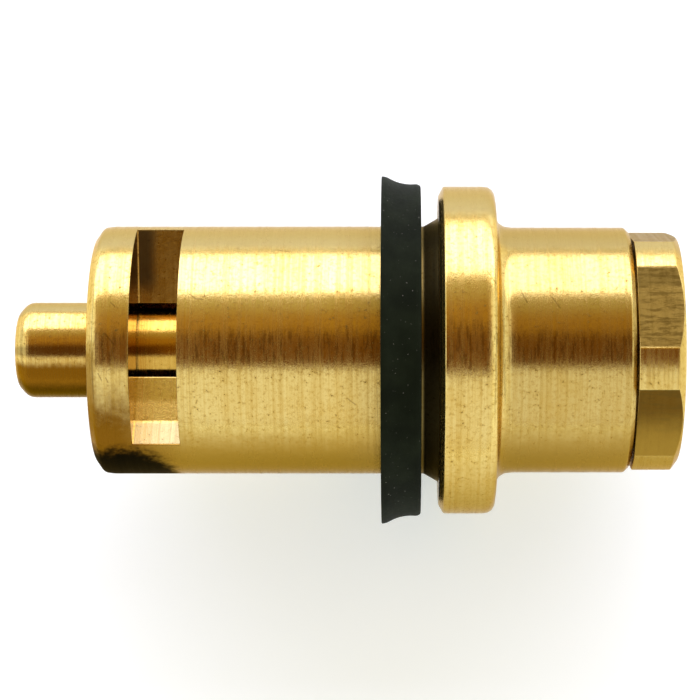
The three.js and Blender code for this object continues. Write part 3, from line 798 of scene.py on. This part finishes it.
def plug_wear_and_painted_shade(place, x, y, z, radius, colour, rough):
    """The six milled flats are browner and coarser than the turned parts, with cutter marks
    along them. Painted shade darkens the upper flats a little and the low ones most, and the
    round parts get a pale, dull painted reflection on top and painted shade below."""
    rag = place.noise(place, 1.0, 4.0, 0.7) - 0.5
    flat = plug_flats(x, y, z, radius)
    streak = place.noise(place.vector(x * 0.45, y * 2.4, z * 2.4), 1.0, 4.0, 0.75)
    colour = (flat * (0.9 + rag * 0.6)).mix(colour, (0.30, 0.21, 0.050, 1.0))
    # Painted shade: the upper flats a little darker and the low flats much darker.
    high = (y + rag * 1.2).fade(2.9, 3.6) * flat
    colour = (high * 0.5).mix(colour, (0.15, 0.105, 0.025, 1.0))
    low = (rag * 2.0 - y).fade(1.5, 5.5) * flat
    colour = (low * 0.9).mix(colour, (0.105, 0.048, 0.003, 1.0))
    colour = (flat * streak.fade(0.45, 0.60) * 0.6).mix(colour, (0.10, 0.06, 0.010, 1.0))
    # Painted reflection on the top of the round parts and painted shade below.
    under = (rag * 0.1 - y / radius).fade(0.69, 0.95)
    top = (y / radius + rag * 0.04).fade(0.55, 0.67) * (1.0 - flat)
    colour = (top * 0.85).mix(colour, PAINTED_PALE_REFLECTION)
    colour = (under * 0.8).mix(colour, (0.34, 0.21, 0.03, 1.0))
    cuts = flat * streak.fade(0.42, 0.62)
    return colour, rough + flat * 0.10, cuts


plug_brass = turned_brass(
    "plug_brass",
    pale=(0.76, 0.61, 0.22, 1.0),
    deep=(0.62, 0.43, 0.10, 1.0),
    roughness=0.26,
    lines=3.2,
    blotch=0.5,
    marks_and_shade=plug_wear_and_painted_shade,
    milled=plug_flats,
)
placed("hexagon_plug", plug_mesh, plug_brass, "cartridge", "brass", "end_plug")

# ---------------------------------------------------------------------------------------
# The push rod: turned brass, with the pin that stands out of the nose, the neck that
# shows in the slot, a shoulder, a groove for the open clip and a thin stem.
# ---------------------------------------------------------------------------------------
ROD_TIP_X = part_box("plunger_rod")[0][0] / MM
ROD_END_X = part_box("plunger_rod")[1][0] / MM
PIN_RADIUS = 4.65
NECK_RADIUS = 4.1
SPRING_SEAT_RADIUS = 3.6
STEM_RADIUS = 2.4

rod_profile = softened(
    [
        [ROD_TIP_X, 0.0, 0.0],
        [ROD_TIP_X, 3.5, 0.5],
        [ROD_TIP_X + 1.05, PIN_RADIUS, 0.6],
        [-29.9, PIN_RADIUS, 0.05],
        [-29.6, PIN_RADIUS - 0.3, 0.05],
        [-29.6, NECK_RADIUS, 0.02],
        [-8.3, NECK_RADIUS, 0.1],
        [-8.3, 6.2, 0.1],
        [-6.3, 6.2, 0.1],
        [-6.3, SPRING_SEAT_RADIUS, 0.1],
        [-4.85, SPRING_SEAT_RADIUS, 0.05],
        [-4.85, 3.0, 0.05],
        [-3.75, 3.0, 0.05],
        [-3.75, SPRING_SEAT_RADIUS, 0.05],
        [4.6, SPRING_SEAT_RADIUS, 0.05],
        [5.0, 3.2, 0.05],
        [5.0, STEM_RADIUS, 0.05],
        [ROD_END_X - 0.4, STEM_RADIUS, 0.08],
        [ROD_END_X, 2.0, 0.08],
        [ROD_END_X, 0.0, 0.0],
    ],
    closed=False,
)
rod_mesh = made_mesh("push_rod", [(turned(rod_profile, full_ring(160)), False, True)])


def rod_wear_and_painted_shade(place, x, y, z, radius, colour, rough):
    """The pin has a painted dark reflection on its near side, nearly black low down, and a
    pale, dull painted reflection on top; the neck is a deeper gold with a darker line
    along it, and fine cuts run round both."""
    rag = (place.noise(place, 1.1, 4.0, 0.7) - 0.5) * 0.5
    side = y / radius.most(0.5)
    pin = x.fade(-32.6, -33.2) * (radius + rag * 0.6).fade(3.0, 4.1)
    # Painted dark reflection on the pin's near side, nearly black low down.
    near_side_painted_dark = (rag * 0.25 - side).fade(0.46, 0.62) * pin
    colour = near_side_painted_dark.mix(colour, (0.20, 0.085, 0.004, 1.0))
    low = (rag * 0.2 - side).fade(0.80, 0.96) * pin
    colour = (low * 0.8).mix(colour, (0.04, 0.018, 0.001, 1.0))
    # Painted pale, dull reflection on the pin's top.
    top = (side + rag * 0.04).fade(0.55, 0.67) * pin
    colour = (top * 0.85).mix(colour, PAINTED_PALE_REFLECTION)
    colour = (x.fade(-30.0, -29.4) * 0.75).mix(colour, (0.62, 0.39, 0.06, 1.0))
    # A darker line along the neck, on its near side.
    neck_dark_line = (x + rag * 2.0).fade(-25.5, -28.0) * abs(side + 0.28).fade(0.16, 0.05)
    colour = (neck_dark_line * 0.5).mix(colour, (0.12, 0.07, 0.02, 1.0))
    cuts = place.noise(place.vector(x * 9.0, y * 0.3, z * 0.3), 1.0, 2.0).fade(0.66, 0.72)
    return colour, rough + near_side_painted_dark * 0.06, cuts * 0.3


rod_brass = turned_brass(
    "rod_brass",
    pale=(0.76, 0.59, 0.20, 1.0),
    deep=(0.60, 0.38, 0.08, 1.0),
    roughness=0.22,
    lines=4.0,
    blotch=0.6,
    marks_and_shade=rod_wear_and_painted_shade,
)
placed("push_rod", rod_mesh, rod_brass, "plunger", "rod_brass", "plunger_rod")

# ---------------------------------------------------------------------------------------
# What is inside: steel washers and spring seats, a plastic spacer and stem bush, and the
# rubber seals. Each is a plain ring made to fit between the rod and its bore.
# ---------------------------------------------------------------------------------------
washer_steel, steel_shader, (steel_place, *_) = finish("washer_steel", 1.0, 0.35)
pressed = steel_place.noise(steel_place, 1.8, 4.0)
feed(
    steel_shader,
    Base_Color=pressed.mix((0.36, 0.36, 0.35, 1.0), (0.52, 0.52, 0.50, 1.0)),
    Roughness=0.28 + pressed * 0.2,
    Normal=steel_place.bump(pressed, 0.01 * MM, 0.4),
)
spring_steel, wire_shader, (wire_place, *_) = finish("spring_steel", 1.0, 0.3)
drawn = wire_place.noise(wire_place, 6.0, 3.0)
feed(
    wire_shader,
    Base_Color=drawn.mix((0.24, 0.24, 0.23, 1.0), (0.40, 0.39, 0.37, 1.0)),
    Roughness=0.22 + drawn * 0.2,
    Normal=wire_place.bump(drawn, 0.006 * MM, 0.4),
)
white_plastic, plastic_shader, (plastic_place, *_) = finish("white_plastic", 0.0, 0.5)
waxy = plastic_place.noise(plastic_place, 1.2, 3.0)
feed(
    plastic_shader,
    Base_Color=waxy.mix((0.74, 0.71, 0.62, 1.0), (0.82, 0.80, 0.72, 1.0)),
    Roughness=0.38 + waxy * 0.2,
    Normal=plastic_place.bump(waxy, 0.01 * MM, 0.4),
)
seal_rubber = black_rubber("seal_rubber", (0.012, 0.012, 0.012, 1.0), 0.1)
INNER_STEPS = 128
SEAL_STEPS = 28


def node_ring(node):
    """A ring-shaped CAD node's front, back and outer radius, in mm."""
    low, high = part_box(node)
    return low[0] / MM, high[0] / MM, high[2] / MM


def flat_ring(node, inner, edge, material, body, slot):
    """A washer in the node's place, from its inner radius to the node's own outer one."""
    front, back, outer = node_ring(node)
    corners = (front, inner), (front, outer), (back, outer), (back, inner)
    profile = softened([[x, radius, edge] for x, radius in corners])
    mesh = made_mesh("fine_" + node, [(turned(profile, full_ring(INNER_STEPS)), True, True)])
    placed("fine_" + node, mesh, material, body, slot, node)


def round_ring(node, centre, section):
    """A seal of round section: a circle of that section turned about X at the centre radius."""
    front, back, _ = node_ring(node)
    turn = full_ring(SEAL_STEPS)
    x = (front + back) / 2 + section / 2 * np.cos(turn)
    profile = np.stack([x, centre + section / 2 * np.sin(turn)], 1)
    mesh = made_mesh("fine_" + node, [(turned(profile, full_ring(INNER_STEPS)), True, True)])
    placed("fine_" + node, mesh, seal_rubber, "cartridge", "seal_rubber", node)


flat_ring("gland_washer_front", 4.4, 0.12, washer_steel, "cartridge", "steel")
flat_ring("gland_washer_rear", 4.4, 0.12, washer_steel, "cartridge", "steel")
flat_ring("gland_spacer", 4.4, 0.12, white_plastic, "cartridge", "plastic")
flat_ring("spring_front_seat", 3.8, 0.15, washer_steel, "plunger", "steel")
flat_ring("spring_rear_seat", 2.8, 0.15, washer_steel, "cartridge", "steel")
flat_ring("stem_seal_washer", 2.6, 0.1, washer_steel, "cartridge", "steel")
flat_ring("stem_guide_bush", 2.5, 0.15, white_plastic, "cartridge", "plastic")
round_ring("rod_seal_front", 5.6, 2.55)
round_ring("rod_seal_rear", 5.6, 2.55)
round_ring("plug_o_ring", 9.0, 1.45)
round_ring("stem_seal", 3.3, 1.45)
for node in ("gland_circlip", "rod_e_clip"):
    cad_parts[node].material_slots[0].material = spring_steel

# ---------------------------------------------------------------------------------------
# The return spring: round steel wire wound on a mandrel, its end turns closed and ground
# flat. It is squeezed between its two seats as the rod goes in.
# ---------------------------------------------------------------------------------------
SPRING_START_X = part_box("return_spring")[0][0] / MM
SPRING_END_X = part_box("return_spring")[1][0] / MM
SPRING_RADIUS = 7.0
SPRING_WIRE = 1.2
SPRING_TURNS = 6.5
SPRING_END_PITCH = 1.38
SPRING_GROUND = 0.3
SPRING_STEPS = 420
SPRING_SIDES = 16


def spring_grid():
    """Rings of points along a helix about X whose first and last turns have a small
    pitch. A ring lies across the wire, and x is held within the two ground ends."""
    turn = np.linspace(0.0, SPRING_TURNS, SPRING_STEPS)
    length = SPRING_END_X - SPRING_START_X - SPRING_WIRE + 2 * SPRING_GROUND
    middle_pitch = (length - 2 * SPRING_END_PITCH) / (SPRING_TURNS - 2)
    closed = np.minimum(turn, 1.0) + np.maximum(turn - (SPRING_TURNS - 1), 0.0)
    x = SPRING_START_X + SPRING_WIRE / 2 - SPRING_GROUND
    x = x + closed * SPRING_END_PITCH + np.clip(turn - 1, 0.0, SPRING_TURNS - 2) * middle_pitch
    angle = 2 * np.pi * turn
    centre = np.stack([x, SPRING_RADIUS * np.cos(angle), SPRING_RADIUS * np.sin(angle)], -1)
    along = np.gradient(centre, axis=0)
    along = along / np.linalg.norm(along, axis=1, keepdims=True)
    outward = np.stack([0 * x, np.cos(angle), np.sin(angle)], -1)
    across = np.cross(along, outward)
    ring = full_ring(SPRING_SIDES)[None, :, None]
    around = np.cos(ring) * outward[:, None] + np.sin(ring) * across[:, None]
    grid = centre[:, None] + SPRING_WIRE / 2 * around
    grid[..., 0] = np.clip(grid[..., 0], SPRING_START_X, SPRING_END_X)
    ends = centre[[0, -1]][:, None] + 0 * grid[[0, -1]]
    return MM * np.concatenate([ends[:1], grid, ends[1:]])


spring_mesh = made_mesh("coil_spring", [(spring_grid(), False, True)])
spring = placed(
    "coil_spring", spring_mesh, spring_steel, "cartridge", "spring_steel", "return_spring"
)
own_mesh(spring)
